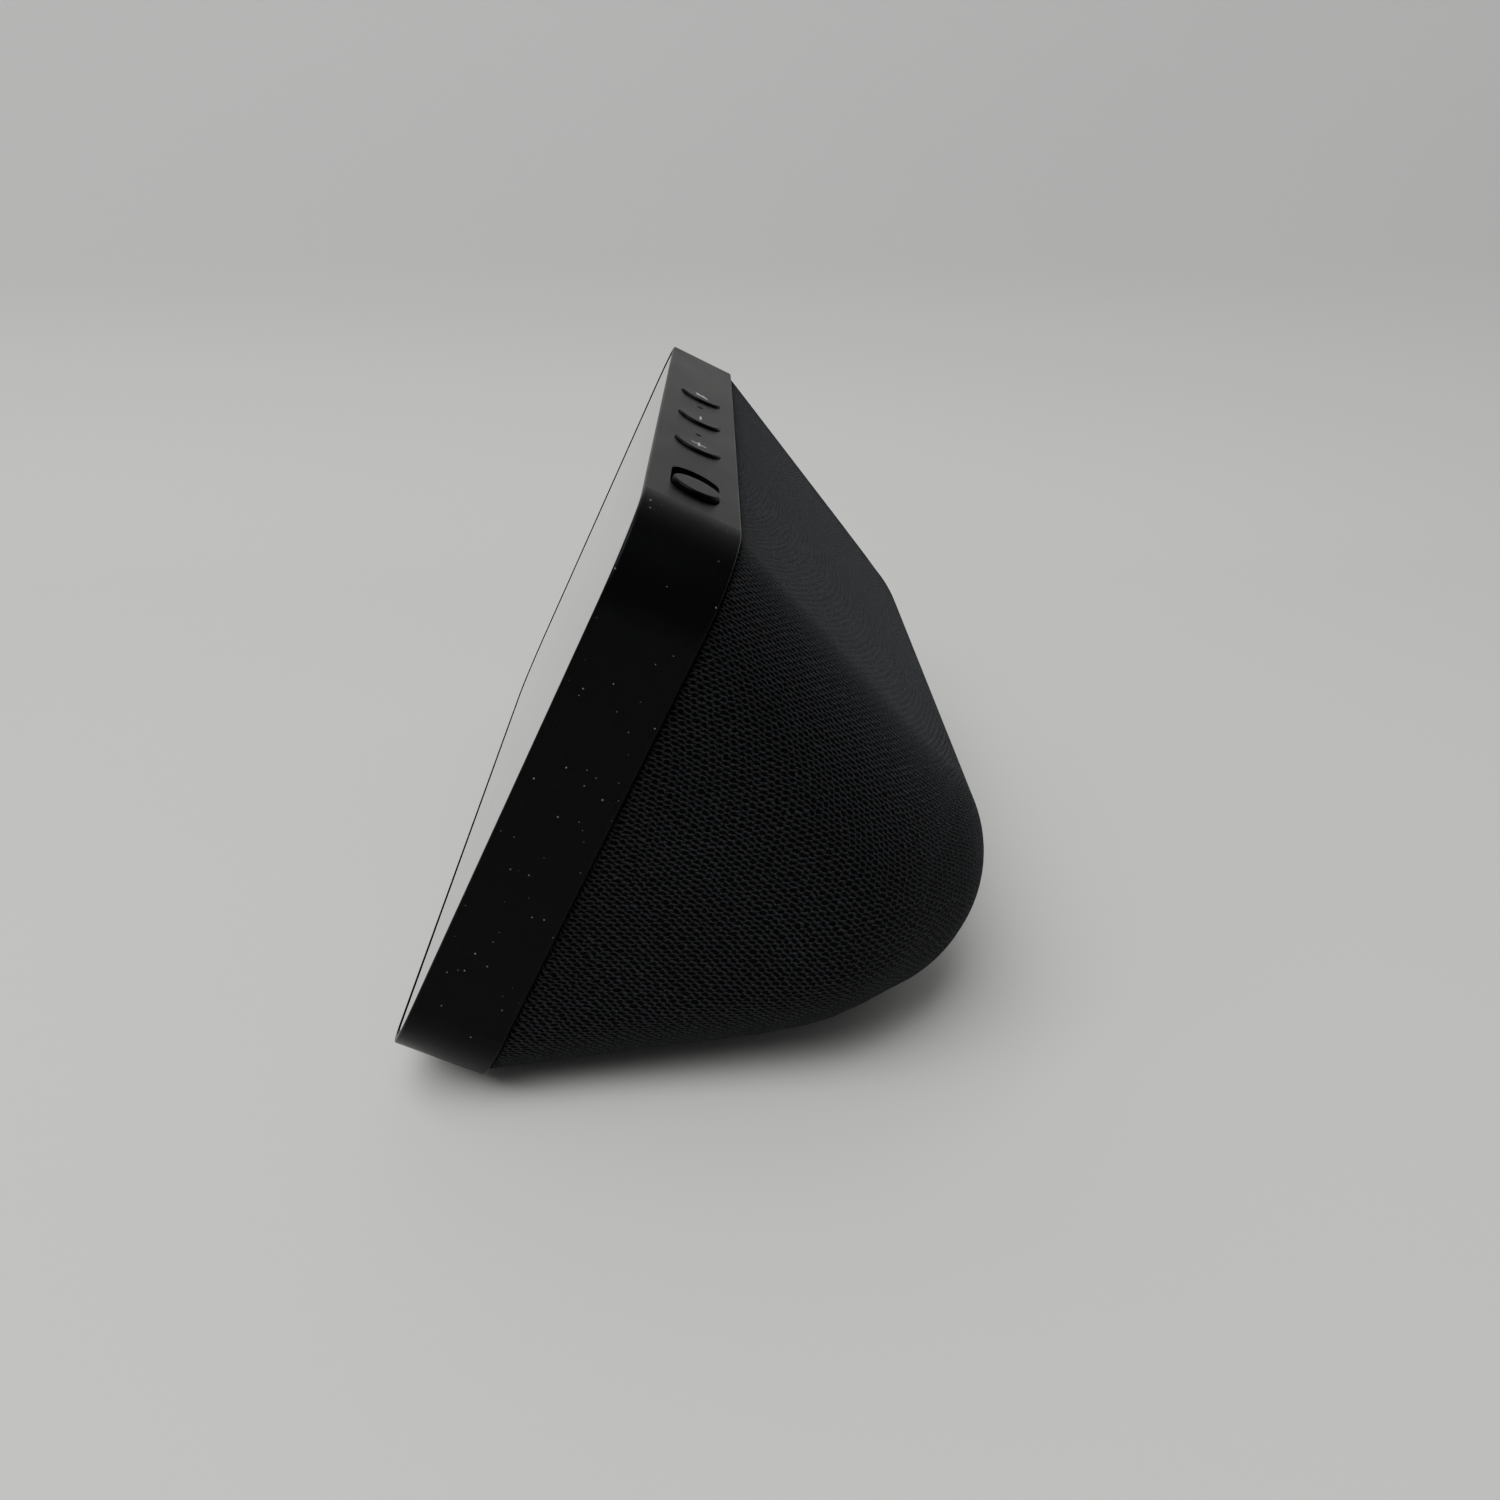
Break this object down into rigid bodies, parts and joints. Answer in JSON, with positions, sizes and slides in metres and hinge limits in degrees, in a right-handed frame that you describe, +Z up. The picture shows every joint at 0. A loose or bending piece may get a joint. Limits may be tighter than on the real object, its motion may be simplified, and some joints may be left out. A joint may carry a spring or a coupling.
{
  "type": "smart speaker",
  "caption": "Tabletop smart speaker: a tilted touch screen in a black frame with keys and a camera shutter on top, and a fabric-covered wedge behind it",
  "frame": {"origin": "On the table under the middle of the object's bounding box.", "axes": "+X to the right as seen from the front, along the screen's width; -Y to the front, the way the screen faces; +Z up. The screen leans back by 26 degrees."},
  "size_m": [0.147, 0.0837, 0.0824],
  "materials": {
    "aluminium": "stamped aluminium sheet",
    "button_plastic": "fine-textured black moulded plastic",
    "charcoal_fabric": "charcoal knitted mesh, stretched over the shell",
    "chip": "moulded chip package",
    "circuit_board": "green solder mask",
    "cone_paper": "pressed paper and treated cloth",
    "copper_coil": "wound enamelled wire",
    "cover_glass": "dark cover glass with a printed border",
    "ferrite": "ferrite and nickel-plated magnets",
    "flex_film": "amber polyimide film",
    "foam": "closed-cell foam",
    "frame_plastic": "fine spark-textured black moulded plastic",
    "inner_plastic": "dark grey moulded plastic",
    "lens": "coated lens",
    "light_plastic": "clear to milky moulded plastic",
    "rubber": "matte sheet rubber",
    "shell_plastic": "black moulded plastic",
    "steel": "plated steel"
  },
  "bodies": {
    "root": {"backlight_tray": "steel", "base_magnets": "ferrite", "base_plate": "shell_plastic", "base_screws": "steel", "board_chips": "chip", "board_screws": "steel", "box_screws": "steel", "bracket_screws": "steel", "button_board": "circuit_board", "button_board_screws": "steel", "button_flex": "flex_film", "camera_flex": "flex_film", "camera_lens": "lens", "camera_module": "chip", "dc_jack": "chip", "dc_jack_pin": "steel", "display_bracket": "aluminium", "display_flex": "flex_film", "driver_screws": "steel", "fabric_cover": "charcoal_fabric", "frame_screws": "steel", "front_frame": "frame_plastic", "front_glass": "cover_glass", "glass_tape": "foam", "lcd_panel": "cover_glass", "light_guide": "light_plastic", "light_sensor": "chip", "main_board": "circuit_board", "microphone_gaskets": "rubber", "microphones": "steel", "pole_piece": "steel", "port_plate": "frame_plastic", "power_board": "circuit_board", "power_board_screws": "steel", "power_wires": "rubber", "rear_shell": "shell_plastic", "rubber_foot": "rubber", "shield_cans": "steel", "speaker_baffle": "inner_plastic", "speaker_basket": "steel", "speaker_box": "inner_plastic", "speaker_gasket": "foam", "speaker_magnet": "ferrite", "spider": "cone_paper", "surround": "rubber", "switch_bodies": "chip", "thermal_pads": "foam", "top_pole_plate": "steel"},
    "volume_up_key": {"volume_up_button": "button_plastic", "volume_up_switch_plunger": "light_plastic"},
    "volume_down_key": {"volume_down_button": "button_plastic", "volume_down_switch_plunger": "light_plastic"},
    "mic_off_key": {"mic_off_button": "button_plastic", "mic_off_switch_plunger": "light_plastic"},
    "shutter": {"shutter_slide": "button_plastic"},
    "driver_cone": {"speaker_cone": "cone_paper", "dust_cap": "cone_paper", "voice_coil": "copper_coil"}
  },
  "joints": [
    {"name": "volume_up_press", "type": "slide", "parent": "root", "child": "volume_up_key", "axis": [0, -0.4384, -0.8988], "range_m": [0, 0.0004], "stiffness_N_per_m": 2500},
    {"name": "volume_down_press", "type": "slide", "parent": "root", "child": "volume_down_key", "axis": [0, -0.4384, -0.8988], "range_m": [0, 0.0004], "stiffness_N_per_m": 2500},
    {"name": "mic_off_press", "type": "slide", "parent": "root", "child": "mic_off_key", "axis": [0, -0.4384, -0.8988], "range_m": [0, 0.0004], "stiffness_N_per_m": 2500},
    {"name": "shutter_travel", "type": "slide", "parent": "root", "child": "shutter", "axis": [1, 0, 0], "range_m": [-0.0062, 0]},
    {"name": "cone_travel", "type": "slide", "parent": "root", "child": "driver_cone", "axis": [0, 0.7755, 0.6314], "range_m": [-0.0012, 0.0012], "stiffness_N_per_m": 900, "deforming": ["surround", "spider"]}
  ]
}
